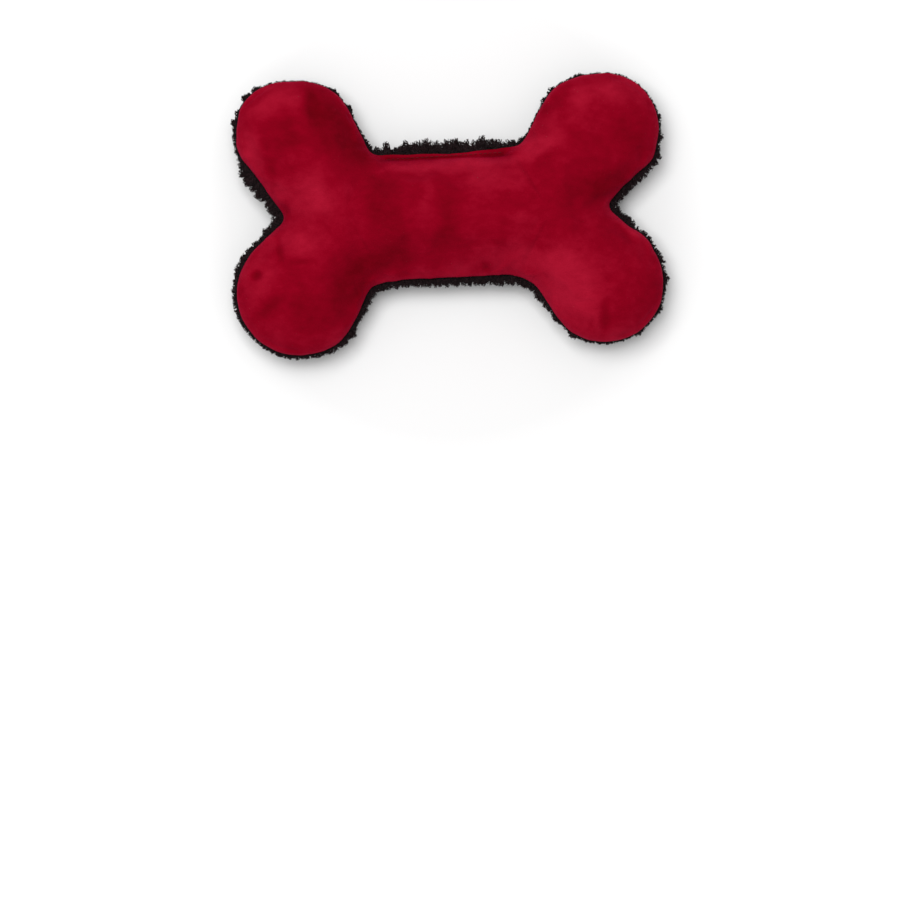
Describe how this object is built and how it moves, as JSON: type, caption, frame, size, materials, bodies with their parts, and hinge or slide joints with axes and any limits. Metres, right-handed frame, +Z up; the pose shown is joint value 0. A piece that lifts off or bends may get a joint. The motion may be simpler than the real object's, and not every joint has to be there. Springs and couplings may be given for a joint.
{
  "type": "plush bone dog toy",
  "caption": "Flat stuffed bone for a dog, smooth red cloth on its face and curly black pile on its back and edge, with a bulb squeaker sewn inside.",
  "frame": {"origin": "on the floor, under the middle of the whole bone as it lies on its shaggy back", "axes": "+X along the bone, +Y across it towards the edge with the closing seam, +Z up out of the red face"},
  "size_m": [0.2796, 0.1812, 0.0545],
  "materials": {
    "red_velour": "short dense nap with a soft sheen",
    "black_pile": "matted curly long pile",
    "red_thread": "spun sewing thread",
    "black_thread": "spun sewing thread",
    "fibre": "loose crimped polyester fibre",
    "soft_plastic": "thin blow-moulded soft plastic",
    "hard_plastic": "moulded hard plastic",
    "reed_film": "thin stiff plastic film"
  },
  "bodies": {
    "bone": {"front_panel": "red_velour", "back_panel": "black_pile", "seam_thread": "black_thread", "closing_topstitch": "red_thread", "filling_waist": "fibre", "filling_knuckle_upper_left": "fibre", "filling_knuckle_lower_left": "fibre", "filling_knuckle_upper_right": "fibre", "filling_knuckle_lower_right": "fibre", "squeaker_bulb": "soft_plastic", "reed_housing": "hard_plastic", "reed_seat": "hard_plastic", "reed_wedge": "hard_plastic"},
    "reed": {"squeaker_reed": "reed_film"}
  },
  "joints": [
    {"name": "reed_flutter", "type": "hinge", "parent": "bone", "child": "reed", "pos_m": [0.0173, -0.0005, 0.03075], "axis": [0, 1, 0], "range_deg": [-3, 3], "stiffness_Nm_per_rad": 0.001}
  ]
}
